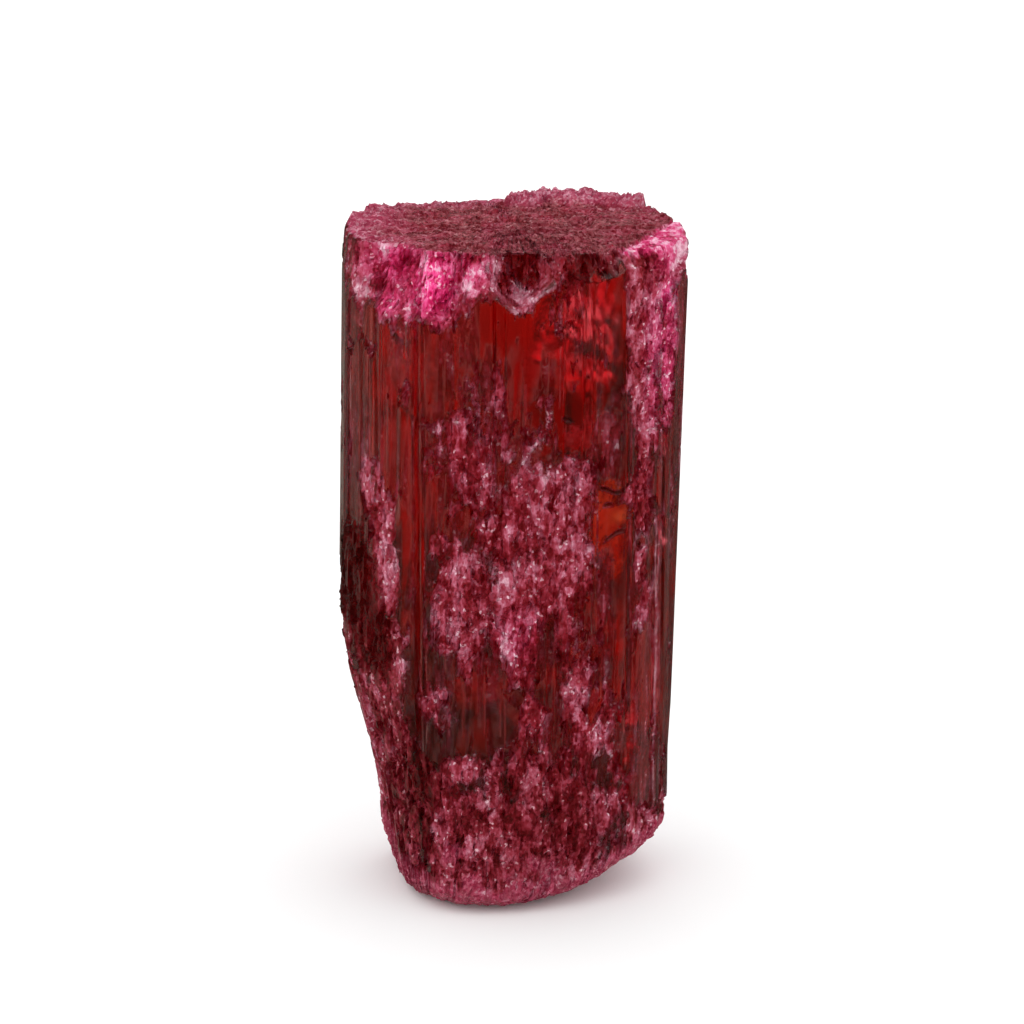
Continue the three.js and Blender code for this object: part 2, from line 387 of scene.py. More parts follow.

# Edges between faces with a painted highlight, a pale line standing for a ridge that catches the light:
# across, half width, from and to height, how pale.
PAINTED_RIDGE_HIGHLIGHTS = [
    (10.45, 0.09, 1, 31, 1.0),
    (10.85, 0.05, 6, 44, 0.6),
    (12.3, 0.10, 20, 48, 0.9),
    (8.55, 0.05, 12, 46, 0.5),
    (6.1, 0.04, 20, 47, 0.4),
    (-7.3, 0.05, 20, 45, 0.3),
    (-12.0, 0.06, 28, 46, 0.4),
]

# Grooves and steps that run up the front faces: across, depth, half width, from and to height.
GROOVES = [
    (-11.0, 0.16, 0.14, 18, 46),
    (-9.9, 0.10, 0.10, 34, 46),
    (-7.05, 0.34, 0.18, 12, 47),
    (-6.5, 0.12, 0.10, 14, 47),
    (-1.35, 0.16, 0.10, 33, 48),
    (-0.6, 0.10, 0.08, 20, 47),
    (3.7, 0.12, 0.08, 8, 49),
    (5.1, 0.10, 0.08, 34, 49),
    (5.85, 0.18, 0.12, 22, 49),
    (8.4, 0.24, 0.12, 12, 50),
    (10.2, 0.12, 0.10, 4, 28),
    (10.95, 0.10, 0.08, 3, 47),
    (11.6, 0.08, 0.08, 3, 47),
]

# The broken front rim: across, how far it is set back at the top, and the height at which that starts.
RIM_ACROSS = [-12.8, -11.6, -10.8, -8.7, -7.2, -4.6, -3.4, -1.8, 0.4, 2.2, 3.6, 6.4, 8.4, 9.3, 10.4]
RIM_SET_BACK = [0.0, 0.5, 1.3, 2.2, 2.3, 2.4, 2.2, 1.9, 1.7, 1.2, 0.9, 1.0, 1.5, 0.9, 0.2]
RIM_START = [49.6, 47.2, 46.2, 46.2, 45.8, 45.8, 47.6, 47.9, 47.0, 48.0, 49.0, 48.6, 49.0, 49.2, 49.6]

# How far the rim's left end is worn back at the top
LEFT_RIM_WEAR = 0.2

# Lower lip of the broken recess under the front rim: across and up.
LIP_ACROSS = [-1.9, -1.3, -0.7, 0.0, 0.6, 1.2, 1.9, 2.8, 3.8]
LIP_UP = [48.4, 47.6, 47.0, 46.6, 46.5, 46.9, 47.7, 48.2, 48.9]
RECESS_DEPTH = 1.5

# Lower edge of the dark striated band under the rim, right of the recess: across and up.
BAND_ACROSS = [3.4, 4.2, 4.8, 5.4, 6.2, 6.8, 7.6, 8.3]
BAND_UP = [49.3, 49.2, 48.8, 48.6, 48.5, 48.6, 48.7, 49.1]
BAND_STEP = 0.35

# Short open cracks across the front: from and to across, and height.
CRACKS = [(6.1, 8.6, 32.6), (6.4, 7.4, 31.2), (6.5, 8.3, 29.0), (3.4, 4.4, 38.2)]
CRACK_DEPTH = 0.18
CRACK_HALF_WIDTH = 0.11

# Runs of narrow growth faces: a seed for each and how wide its faces mostly are.
STRIATION_RUNS = [(3, 0.8), (8, 0.4), (12, 1.7)]
# How far they stand out, how deep their mean is, and the girth each way over which that mean is taken
STRIATION_RELIEF = 0.5
STRIATION_MEAN = 0.12
STRIATION_SPREAD = 1.3
# Where each later run takes the first one's place: seed, width and height of the stretches, and a level.
RUN_CHANGES = [(31, 1.6, 17, 0.2), (32, 2.3, 23, 0.4)]

# Noise that breaks up the patches' edges: seed, width, height, then layers and gain.
MOTTLE_WARP = (71, 1.1, 2.2, 3)
MOTTLE = (5, 1.3, 2.7, 6, 0.72)
FRINGE = (77, 0.28, 2.2, 2)
PATCH_EDGE = 0.62
# The same for the upper edge of the sugary foot, and how high it mostly is.
SUGAR_EDGE = (79, 1.5, 1.5, 3)
SUGARY_FOOT = 2.6

# Chips of the broken and etched skin, coarse to fine: seed, width, height, tilt and relief.
CHIPS = [(41, 1.0, 2.6, 1.0, 0.30), (42, 0.5, 1.2, 1.4, 0.18), (43, 0.28, 0.5, 1.6, 0.08)]
ETCHED_DEPTH = 0.18


def striations(prism, seed, typical):
    """Depths round the prism of narrow growth faces, each turned to one of the crystal's twelve bearings."""
    rng = np.random.default_rng(seed)
    step = prism.girth / COLUMNS
    slope = np.zeros(COLUMNS)
    column = 0
    while column < COLUMNS:
        bearing = prism.bearing[column]
        low_turn = math.floor(bearing / 30) * 30 - bearing
        tangents = [abs(math.tan(math.radians(low_turn))), math.tan(math.radians(low_turn + 30))]
        pair = rng.lognormal(math.log(typical), 0.75)
        share = tangents[1] / sum(tangents)
        for part, tangent in ((share, -tangents[0]), (1 - share, tangents[1])):
            wide = max(1, round(pair * part * rng.uniform(0.55, 1.5) / step))
            slope[column:column + wide] = tangent
            column += wide
    depth = np.cumsum(slope) * step
    return depth - smeared(depth, round(STRIATION_SPREAD / step))


def patched(patches, x, y, z, inner, outer):
    """How much of each point is in the patches, from 0 to 1, fading out round their edges."""
    cover = np.zeros_like(x)
    for side, own in patches.items():
        facing = ramp(-y if side == "front" else y, -1.2, 0.4)
        for across, up, half_width, half_height, share in own:
            reach = np.hypot((x - across) / half_width, (z - up) / half_height)
            cover = np.maximum(cover, share * facing * (1 - ramp(reach, inner, outer)))
    return cover


def corrosion(x, y, z):
    """How deep the lower left is eaten away at each point."""
    off = np.abs((np.degrees(np.arctan2(y, x)) - CORROSION_BEARING + 180) % 360 - 180)
    lowness = 1 - ramp(z, CORROSION_FULL, CORROSION_TOP)
    return CORROSION_DEPTH * (1 - ramp(off, 0, CORROSION_SPREAD)) * lowness


def broken_rim(x, y, z):
    """How far the front rim is broken back at each point."""
    back = np.interp(x, RIM_ACROSS, RIM_SET_BACK) * ramp(-y, 0, 1.5)
    start = np.interp(x, RIM_ACROSS, RIM_START)
    return back * np.clip((z - start) / (HEIGHT - start), 0, 1) ** 0.7


def recess(x, y, z):
    """Depth of the broken recess under the front rim, and how much of each point is on its lip."""
    lip = np.interp(x, LIP_ACROSS, LIP_UP)
    inside = (x > LIP_ACROSS[0]) & (x < LIP_ACROSS[-1]) & (y < 0)
    above = np.where(inside, z - lip, -1)
    depth = RECESS_DEPTH * ramp(above, 0, 1.1) * (1 - ramp(z, 50.2, 50.9))
    depth = depth * ramp(x, LIP_ACROSS[0], -0.7) * (1 - ramp(x, 1.8, LIP_ACROSS[-1]))
    on_lip = np.where(inside, ramp(above, -0.05, 0.03) * (1 - ramp(above, 0.2, 0.42)), 0)
    return depth, on_lip * ramp(x, -0.6, 0.2) * (1 - 0.5 * ramp(x, 1.4, 2.2))


def band_step(x, y, z):
    """How far the face under the dark band stands back from it."""
    edge = np.interp(x, BAND_ACROSS, BAND_UP)
    across = ramp(x, 2.6, 4.8) * (1 - ramp(x, 8.0, 8.8)) * (y < 0)
    return BAND_STEP * across * (1 - ramp(z, edge - 0.12, edge + 0.02)) * ramp(z, 38, 49)


def cracks(x, y, z):
    """How much of each point is in one of the short open cracks that run across the front."""
    cover = np.zeros_like(x)
    for left, right, up in CRACKS:
        curve = up + 0.3 * np.sin(2.1 * x + up)
        across = ramp(x, left, left + 0.4) * (1 - ramp(x, right - 0.4, right)) * (y < 0)
        cover = np.maximum(cover, across * bell(z, curve, CRACK_HALF_WIDTH))
    return cover


def etching(x, y, z):
    """How etched each point is, and how much of a thin film of etching lies on it."""
    cover = 1.5 * patched(ETCHED, x, y, z, 0.15, 1.4)
    warp = 0.5 * noise_field(x, y, z, *MOTTLE_WARP)
    mottle = noise_field(x + warp, y, z + warp, *MOTTLE)
    fringe = 0.30 * noise_field(x, y, z, *FRINGE)
    etched = ramp(cover - PATCH_EDGE - 1.15 * mottle - fringe, -0.16, 0.16)
    filmed = 1.1 * patched(FILMED, x, y, z, 0.2, 1.2)
    film = ramp(np.maximum(cover, filmed) - PATCH_EDGE - 0.8 * mottle - 1.6 * fringe, -0.3, 0.45)
    return etched, film * (1 - patched(CLEAR, x, y, z, 0.6, 1.2))


def painted_ridge_highlights(x, y, z):
    """How strong the painted highlight is along each edge between the front faces."""
    ridge_highlight = np.zeros_like(x)
    for across, half_width, low, high, share in PAINTED_RIDGE_HIGHLIGHTS:
        there = share * bell(x, across, half_width) * (y < 0)
        ridge_highlight = np.maximum(ridge_highlight, there * ramp(z, low, low + 3) * (1 - ramp(z, high - 3, high)))
    return ridge_highlight


def growth_relief(prism, x, y, z):
    """Depth of the striations and grooves."""
    main, *others = (striations(prism, seed, size)[None, :] for seed, size in STRIATION_RUNS)
    for run, (*stretch, level) in zip(others, RUN_CHANGES):
        main = np.where(noise_field(x, y, z, *stretch) > level, run, main)
    depth = STRIATION_RELIEF * main - STRIATION_MEAN
    for across, deep, half_width, low, high in GROOVES:
        there = bell(x, across, half_width) * (y < 0)
        depth = depth + deep * there * ramp(z, low - 2, low + 2) * (1 - ramp(z, high - 0.5, high + 0.5))
    return depth


def skin_depth(prism, x, y, z):
    """Inward depth of the skin at each point, with the masks that the material uses."""
    etched, film = etching(x, y, z)
    # Pale lines painted along the front ridges as highlights.
    ridge_highlight = painted_ridge_highlights(x, y, z)
    eaten = corrosion(x, y, z)
    rim = broken_rim(x, y, z)
    broken, lip = recess(x, y, z)
    crack = cracks(x, y, z)
    grains = ramp(1.0 + 1.5 * noise_field(x, y, z, *SUGAR_EDGE) - z / SUGARY_FOOT, 0, 0.5)

    chipped = [(relief, chip_field(x, y, z, *chip)) for *chip, relief in CHIPS]
    hackle = sum((relief * level for relief, level in chipped), ETCHED_DEPTH)
    hackle = hackle * (1 + 0.4 * ramp(eaten, 0.3, 1.5) + 0.9 * ramp(rim, 0, 0.6))
    big, middling = chipped[0][1], chipped[1][1]
    depth = growth_relief(prism, x, y, z) * (1 - 0.6 * etched) + etched * np.maximum(hackle, 0.05)
    depth = depth + eaten + rim + broken + band_step(x, y, z)
    depth = depth + ramp(broken, 0.2, 0.8) * (0.25 * big + 0.15 * middling)
    depth = depth + LEFT_RIM_WEAR * ramp(-x, 7, 11.5) * ramp(z, 49.7, HEIGHT) ** 2
    depth = depth + CRACK_DEPTH * crack
    # Besides the stone's own colours, these masks carry painted light: highlights on the rim's ledges and
    # along ridges, shade in cavities and the recess under the rim, and a glow through thin edges. The cracks
    # are drawn darker too.
    masks = {
        "etched": np.maximum.reduce([etched, 0.7 * lip, 0.8 * ramp(broken, 0.1, 0.4), crack]),
        "film": np.maximum(film, ridge_highlight),
        "rose_and_glow": np.maximum(patched(PAINTED_GLOW_PATCHES, x, y, z, 0.1, 1.25), 0.3 * grains),
        "pale": np.maximum.reduce([patched(PALE_AND_HIGHLIT_PATCHES, x, y, z, 0.3, 1.2), lip, ridge_highlight]) - 1.6 * crack,
        "stain_and_shade": np.maximum(patched(STAINED_AND_SHADED_PATCHES, x, y, z, 0.4, 1.2), 1.5 * crack),
        "sugar": grains,
    }
    return depth, masks


# ---------------------------------------------------------------- the crystal's closed surface
SHOULDER_POINT = (9.6, -2.0, 50.7)
SHOULDER_TURN = -27
SHOULDER_DIP_RIGHT = 12
SHOULDER_DIP_FRONT = 2
# The crevice where the broken shoulder meets the termination
CREVICE_DEPTH = 0.7
CREVICE_HALF_WIDTH = 0.2
RIM_ROUNDING = 0.22
RIM_DROP = 0.34
# The smallest rings' shares of the rim and of the foot's flat
INNERMOST_RING = 0.012
INNERMOST_OF_FLAT = 0.06

# The sugary termination: how far its middle level is below the top, its relief, and the size of its grains
TOP_DROP = 0.36
TOP_RELIEF = 0.14
TOP_GRAIN = 0.44
SHOULDER_GRAIN = 0.9
CRUST_HEIGHT = 0.75
CRUST_RELIEF = 0.2
CRUST_GRAIN = 0.5
# Low ledges of the termination: seed and height of each.
LEDGES = [(61, 0.22), (62, 0.16), (63, 0.18)]

# The foot's lumps, and the masks that are the same all over it
FOOT_LUMPS = 0.28
FOOT_GRAIN = 0.7
FOOT_MASKS = {"etched": 1.0, "film": 1.0, "rose_and_glow": 0.3, "pale": 0.15, "stain_and_shade": 0.0, "sugar": 1.0}


def shoulder_height(x, y):
    """Height of the broken shoulder's slope, or far above the crystal where it isn't broken."""
    turn = math.radians(SHOULDER_TURN)
    dx, dy = x - SHOULDER_POINT[0], y - SHOULDER_POINT[1]
    right = dx * math.cos(turn) + dy * math.sin(turn)
    back = dy * math.cos(turn) - dx * math.sin(turn)
    slope = SHOULDER_POINT[2] - right * math.tan(math.radians(SHOULDER_DIP_RIGHT))
    slope = slope + back * math.tan(math.radians(SHOULDER_DIP_FRONT))
    slope = slope - CREVICE_DEPTH * bell(right, CREVICE_HALF_WIDTH, CREVICE_HALF_WIDTH)
    return np.where(right > 0, slope, HEIGHT + 5)


def sugar(x, y, z, size):
    """Relief of sugary grains, between about -1 and 1, in grains of this size."""
    coarse = chip_field(x, y, z, 51, size, size)
    fine = chip_field(x, y, z, 52, size * 0.55, size * 0.55)
    return 0.55 * coarse + 0.35 * fine + 0.5 * noise_field(x, y, z, 53, 2.6, 2.6, 3)


def ledges(x, y):
    """How far the termination's low ledges stand down at each point, and where their crimson scarps are."""
    drop, scarp = np.zeros_like(x), np.zeros_like(x)
    for seed, step in LEDGES:
        field = noise_field(0.7 * x, 1.6 * y, 0 * x, seed, 2.6, 1, 5, 0.7)
        drop = drop + step * ramp(field, 0.04, 0.09)
        scarp = np.maximum(scarp, ramp(field, -0.03, 0.04) * (1 - ramp(field, 0.08, 0.16)))
    return drop, scarp


def crusted(x, y):
    """How much of the pale crust along the back and left rim is at each point."""
    at_back = ramp(x + 0.5 * np.sin(y * 2.1), -1.2, 0.2) * ramp(y + 0.3 * np.sin(x * 1.7), 6.0, 6.9)
    return np.maximum(at_back, 0.8 * ramp(-x, 6.5, 10.5) * ramp(y, -4, 1))


def top_height(x, y):
    """The sugary termination: almost flat, with ledges, a crust at the back right and the broken shoulder."""
    flat = HEIGHT - TOP_DROP + TOP_RELIEF * sugar(x, y, 0 * x, TOP_GRAIN) - ledges(x, y)[0]
    flat = flat + crusted(x, y) * (CRUST_HEIGHT + CRUST_RELIEF * sugar(x, y, 0 * x + 1, CRUST_GRAIN))
    broken = shoulder_height(x, y) + TOP_RELIEF * sugar(x, y, 0 * x + 3, SHOULDER_GRAIN)
    return np.minimum(flat, broken)


def foot_rings(lowest, rise, sideways):
    """Rings from the middle of the flat, round the lumpy underside, to the body's lowest ring."""
    centre = (FLAT_CENTRE, 0)
    angle = np.arctan2(lowest[:, 1], lowest[:, 0])
    flat = 1 / np.hypot(np.cos(angle) / FLAT_HALF_WIDTH, np.sin(angle) / FLAT_HALF_DEPTH)
    edge = centre + np.stack([flat * np.cos(angle), flat * np.sin(angle)], axis=-1)
    inner = np.linspace(INNERMOST_OF_FLAT, 1, FLAT_ROWS + 1)[:-1, None, None]
    level = centre + (edge - centre) * inner
    turns = np.linspace(0, math.pi / 2, FOOT_ROWS + 1)[:-1, None]
    rounded = edge + (lowest - edge) * np.sin(turns)[..., None]
    foot = np.concatenate([level, rounded])
    bend = 1 + (FOOT_BEND_RIGHT - 1) * np.maximum(sideways, 0)
    height = np.concatenate([np.zeros(level.shape[:2]), rise * (1 - np.cos(turns)) ** bend])

    outer = np.concatenate([np.zeros(FLAT_ROWS), np.sin(turns[:, 0])])[:, None]
    lumps = FOOT_LUMPS * sugar(foot[..., 0], foot[..., 1], height, FOOT_GRAIN)
    swell = np.minimum(lumps, 0.2) * outer * ramp(1 - outer, 0, 0.1)
    foot = foot * (1 + swell / np.hypot(foot[..., 0], foot[..., 1]))[..., None]
    middle = np.hypot(foot[..., 0] - FLAT_CENTRE, foot[..., 1])
    height = np.maximum(height - lumps * (1 - outer) * ramp(middle, 2, 6), 0) * ramp(middle, 0, 3)
    return np.concatenate([foot, height[..., None]], axis=-1)


def top_rings(rim):
    """Rings from inside the rim to the middle of the termination, with their masks."""
    shares = np.linspace(1, INNERMOST_RING, TOP_ROWS)[:, None]
    pulled = rim * (1 - RIM_ROUNDING / np.hypot(*rim.T))[:, None]
    cap = pulled[None] * shares[..., None]
    x, y = cap[..., 0], cap[..., 1]
    sides = np.maximum(ramp(-x, 5, 11), ramp(y, 4, 8))
    fringe = np.maximum(ramp(shares, 0.72, 1.0) * sides, crusted(x, y))
    shoulder = ramp(HEIGHT - 0.2 - shoulder_height(x, y), 0, 0.1)
    masks = {
        "etched": 1.0,
        "film": 1.0,
        "rose_and_glow": np.maximum(0.75 * fringe, 0.65 * shoulder),
        "pale": np.maximum(fringe, 0.35 * shoulder),
        "stain_and_shade": 0.45 * ledges(x, y)[1] * (1 - shoulder),
        "sugar": 1 - shoulder,
    }
    return np.concatenate([cap, top_height(x, y)[..., None]], axis=-1), masks


def crystal_rings(prism):
    """Rings of points from the middle of the foot to the middle of the termination, with their masks."""
    low = prism.at(np.full((1, COLUMNS), FOOT_RISE_LEFT))[0]
    sideways = low[:, 0] / np.hypot(*low.T)
    side_rise = np.where(sideways > 0, FOOT_RISE_RIGHT, FOOT_RISE_LEFT)
    rise = FOOT_RISE_FRONT + (side_rise - FOOT_RISE_FRONT) * sideways**2

    rim = prism.at(np.full((1, COLUMNS), HEIGHT))[0]
    top = np.minimum(HEIGHT - RIM_DROP, shoulder_height(*rim.T) - 0.1) - RIM_ROUNDING
    share = np.linspace(0, 1, BODY_ROWS + 1)[:, None]
    z = rise[None, :] * (1 - share) + top[None, :] * share
    plain = prism.at(z)
    depth, masks = skin_depth(prism, plain[..., 0], plain[..., 1], z)
    body = plain - prism.outward[None] * depth[..., None]

    foot = foot_rings(body[0], rise, sideways)
    cap, top_masks = top_rings(body[-1])
    rings = np.concatenate([foot, np.concatenate([body, z[..., None]], axis=-1), cap])
    values = {
        key: np.concatenate([
            np.full(foot.shape[:2], FOOT_MASKS[key]),
            masks[key],
            top_masks[key] + np.zeros(cap.shape[:2]),
        ])
        for key in masks
    }
    return rings, values


def closed_mesh(name, rings, values):
    """A closed mesh through rings of points, fanned to a point at both ends, with a value at each point."""
    rows, around = rings.shape[:2]
    points = np.concatenate([rings.reshape(-1, 3), rings[:1].mean(axis=1), rings[-1:].mean(axis=1)])
    index = np.arange(rows * around).reshape(rows, around)
    after = np.roll(index, -1, axis=1)
    a, b, c, d = index[:-1].ravel(), after[:-1].ravel(), after[1:].ravel(), index[1:].ravel()
    bottom, top = len(points) - 2, len(points) - 1
    triangles = np.concatenate([
        np.stack([a, b, c], axis=1),
        np.stack([a, c, d], axis=1),
        np.stack([np.full(around, bottom), after[0], index[0]], axis=1),
        np.stack([np.full(around, top), index[-1], after[-1]], axis=1),
    ])
    mesh = bpy.data.meshes.new(name)
    mesh.vertices.add(len(points))
    mesh.vertices.foreach_set("co", (points * MM).astype(np.float32).ravel())
    mesh.loops.add(triangles.size)
    mesh.loops.foreach_set("vertex_index", triangles.astype(np.int32).ravel())
    mesh.polygons.add(len(triangles))
    mesh.polygons.foreach_set("loop_start", np.arange(0, triangles.size, 3, dtype=np.int32))
    for key, value in values.items():
        ends = [value[0].mean(), value[-1].mean()]
        layer = mesh.attributes.new(key, "FLOAT", "POINT")
        layer.data.foreach_set("value", np.concatenate([value.ravel(), ends]).astype(np.float32))
    mesh.update(calc_edges=True)
    mesh.validate()
    return mesh


def new_object(name, mesh):
    """An object of this mesh, in the scene."""
    piece = bpy.data.objects.new(name, mesh)
    bpy.context.scene.collection.objects.link(piece)
    return piece


# Parts of the front whose finest detail stays when the mesh is thinned: across and up, from and to.
KEPT_FINE = [(-2.4, 4.4, 44.5, 50.6), (5.8, 8.8, 28.4, 33.4), (1.4, 6.1, 36.0, 40.0)]
# Edges sharper than this, in degrees, aren't smoothed.
SHARP_FROM = 16


def thinned(piece, triangles, shift):
    """Replaces a piece's mesh with one of fewer triangles that keeps its shape and its finest parts."""
    places = np.empty(len(piece.data.vertices) * 3, np.float32)
    piece.data.vertices.foreach_get("co", places)
    x, y, z = (places.reshape(-1, 3) / MM - shift).T
    free = np.ones(len(x), bool)
    for left, right, low, high in KEPT_FINE:
        free &= (x < left) | (x > right) | (z < low) | (z > high) | (y > 0)
    group = piece.vertex_groups.new(name="free")
    group.add(np.flatnonzero(free).tolist(), 1.0, "REPLACE")
    modifier = piece.modifiers.new("thin", "DECIMATE")
    modifier.vertex_group = group.name
    modifier.ratio = triangles / len(piece.data.polygons)
    graph = bpy.context.evaluated_depsgraph_get()
    fine = piece.data
    piece.data = bpy.data.meshes.new_from_object(piece.evaluated_get(graph))
    piece.modifiers.clear()
    piece.vertex_groups.clear()
    bpy.data.meshes.remove(fine)


def make_crystal():
    """The crystal's skin, its prism, and how far both are moved so that it stands in its node's box."""
    prism = Prism()
    rings, values = crystal_rings(prism)
    box = np.array(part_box(NODE)) / MM
    own = np.stack([rings.min(axis=(0, 1)), rings.max(axis=(0, 1))])
    shift = (box.mean(axis=0) - own.mean(axis=0)) * (1, 1, 0)
    piece = new_object("crystal", closed_mesh("crystal", rings + shift, values))
    thinned(piece, TRIANGLES, shift)
    piece.data.name = "crystal"
    piece.data.shade_smooth()
    piece.data.set_sharp_from_angle(angle=math.radians(SHARP_FROM))
    return piece, prism, shift


# ---------------------------------------------------------------- what is sealed in the crystal
# Fractures seen through the front: across, up, depth under the skin, half width, half height, and the lean
# of the top towards the skin, in degrees. First the healed ones, then the open and the stained ones.
VEILS = [
    (3.4, 45.4, 3.2, 1.5, 2.2, 15),
    (2.2, 41.6, 3.2, 1.8, 2.6, 10),
    (10.9, 17.5, 1.2, 0.7, 8.5, 0),
    (9.8, 9.0, 1.4, 1.3, 3.0, 0),
    (6.4, 36.4, 2.0, 2.0, 2.6, 5),
    (-4.0, 41.5, 3.4, 2.8, 3.6, 20),
    (-0.9, 38.4, 2.2, 1.5, 2.4, -15),
    (-9.2, 41.5, 2.4, 1.5, 4.0, 5),
    (-11.7, 44.6, 1.0, 0.6, 1.6, 0),
    (-5.2, 34.0, 2.2, 2.0, 2.8, 12),
    (6.6, 21.6, 2.6, 2.0, 3.0, 10),
    (3.0, 13.8, 2.8, 2.6, 3.0, -8),
    (-3.4, 18.4, 2.4, 2.0, 3.0, 6),
    (8.6, 10.4, 1.8, 1.6, 3.0, 6),
]
OPEN_VEILS = [
    (5.8, 44.6, 1.8, 2.6, 4.2, 6),
    (7.3, 41.4, 2.4, 1.3, 2.8, -10),
    (5.4, 44.2, 2.7, 3.0, 4.6, 2),
    (6.0, 43.6, 3.6, 3.2, 5.0, -3),
    (11.0, 42.8, 0.8, 0.9, 3.6, 4),
    (11.3, 37.0, 0.8, 0.8, 3.6, 3),
    (11.3, 28.0, 0.8, 0.8, 3.0, 0),
    (9.3, 13.0, 1.6, 1.0, 3.0, 4),
    (-8.8, 43.6, 2.2, 0.7, 2.4, 4),
]
STAINED_VEILS = [
    (7.2, 30.6, 0.8, 2.2, 3.4, 5),
    (7.7, 28.2, 1.2, 1.5, 3.0, 0),
    (6.3, 32.4, 0.9, 0.8, 0.9, -20),
    (8.3, 26.6, 1.7, 0.9, 1.8, 0),
]
SCATTERED_VEILS = 70
GROWTH_TUBES = 170
VEIL_THICKNESS = 0.05
VEIL_RINGS = 7
VEIL_SPOKES = 26
TUBE_SPOKES = 6
INCLUSION_SEED = 20
# From and to, for what is scattered
SCATTER_UP = (9, 44)
SCATTER_DEPTH = (3.2, 6.0)
SCATTER_HALF_WIDTH = (0.5, 1.7)
SCATTER_HALF_HEIGHT = (0.7, 2.4)
SCATTER_LEAN = (-35, 35)
TUBE_UP = (14, 42)
TUBE_DEPTH = (0.9, 3.0)
TUBE_LENGTH = (2, 9)
TUBE_RADIUS = (0.03, 0.08)
# What is sealed in the crystal, each with its film
SEALED = {
    "healed_fractures": "droplet_film",
    "open_fractures": "gas_film",
    "stained_fractures": "iron_stained_film",
    "growth_tubes": "droplet_film",
}


def under_skin(prism, column, up, depth, reach):
    """A place at this depth under the skin, for something this tall each way, and the outward direction."""
    place = prism.at(np.full((1, COLUMNS), up))[0, column]
    place = place - prism.outward[column] * (depth + corrosion(*place, up - reach))
    return np.array([*place, up]), np.array([*prism.outward[column], 0])


def front_column(prism, across, up):
    """The column of the front skin that is this far across."""
    ring = prism.at(np.full((1, COLUMNS), up))[0]
    return int(np.argmin(np.abs(ring[:, 0] - across) + 100 * (ring[:, 1] > 0)))


def veil(rng, middle, outward, half_width, half_height, lean):
    """Points and triangles of one closed, wavy, ragged sheet, with how near its middle each point is."""
    rings, spokes = VEIL_RINGS, VEIL_SPOKES
    lean = math.radians(lean)
    side = np.array([-outward[1], outward[0], 0])
    rise = np.array([0, 0, math.cos(lean)]) + outward * math.sin(lean)
    normal = np.cross(side, rise)
    turns = np.linspace(0, math.tau, spokes, endpoint=False)
    ragged = 1 + sum(rng.uniform(0.04, 0.2) * np.sin(k * turns + rng.uniform(0, 6)) for k in (2, 3, 5, 8))
    shares = np.linspace(0, 1, rings + 1)[1:, None]
    across = shares * np.cos(turns) * ragged * half_width
    along = shares * np.sin(turns) * ragged * half_height
    waves = sum(
        rng.uniform(0.05, 0.16) * np.sin(across * rng.uniform(-3, 3) + along * rng.uniform(-3, 3) + k)
        for k in range(5)
    )
    thick = VEIL_THICKNESS * np.sqrt(1 - shares**2) + 0 * across
    places = middle + across[..., None] * side + along[..., None] * rise + waves[..., None] * normal
    front = places[:-1] + thick[:-1, :, None] * normal
    back = places[:-1] - thick[:-1, :, None] * normal
    tips = [places[0].mean(axis=0) + turn * VEIL_THICKNESS * normal for turn in (1, -1)]
    points = np.concatenate([front.reshape(-1, 3), places[-1], back[::-1].reshape(-1, 3), tips])
    inner = np.repeat(np.concatenate([1 - shares[:, 0], 1 - shares[-2::-1, 0]]), spokes)
    inner = np.concatenate([inner, [1, 1]])
    rows = 2 * rings - 1
    index = np.arange(rows * spokes).reshape(rows, spokes)
    after = np.roll(index, -1, axis=1)
    first, last = np.full(spokes, rows * spokes), np.full(spokes, rows * spokes + 1)
    triangles = np.concatenate([
        np.stack([first, index[0], after[0]], axis=1),
        np.stack([index[:-1], index[1:], after[1:]], axis=-1).reshape(-1, 3),
        np.stack([index[:-1], after[1:], after[:-1]], axis=-1).reshape(-1, 3),
        np.stack([last, after[-1], index[-1]], axis=1),
    ])
    return points, triangles, inner


def tube(rng, middle, length):
    """The same for one closed needle that stands upright."""
    spokes = TUBE_SPOKES
    radius = rng.uniform(*TUBE_RADIUS)
    turns = np.linspace(0, math.tau, spokes, endpoint=False)
    circle = np.stack([np.cos(turns) * radius, np.sin(turns) * radius, 0 * turns], axis=1)
    up = np.array([0, 0, length / 2])
    points = np.concatenate([middle - up + circle, middle + up + circle, [middle - up, middle + up]])
    low = np.arange(spokes)
    low_after = (low + 1) % spokes
    high, high_after = low + spokes, low_after + spokes
    bottom, top = np.full(spokes, 2 * spokes), np.full(spokes, 2 * spokes + 1)
    triangles = np.concatenate([
        np.stack([bottom, low_after, low], axis=1),
        np.stack([low, low_after, high_after], axis=1),
        np.stack([low, high_after, high], axis=1),
        np.stack([top, high, high_after], axis=1),
    ])
    return points, triangles, np.ones(len(points))


def joined(name, parts, shift):
    """One object from many closed shells."""
    starts = np.cumsum([0] + [len(part[0]) for part in parts])
    points = np.concatenate([part[0] for part in parts]) + shift
    triangles = np.concatenate([part[1] + start for part, start in zip(parts, starts)])
    mesh = bpy.data.meshes.new(name)
    mesh.from_pydata((points * MM).tolist(), [], triangles.tolist())
    layer = mesh.attributes.new("inner", "FLOAT", "POINT")
    layer.data.foreach_set("value", np.concatenate([part[2] for part in parts]).astype(np.float32))
    piece = new_object(name, mesh)
    mesh.shade_smooth()
    return piece


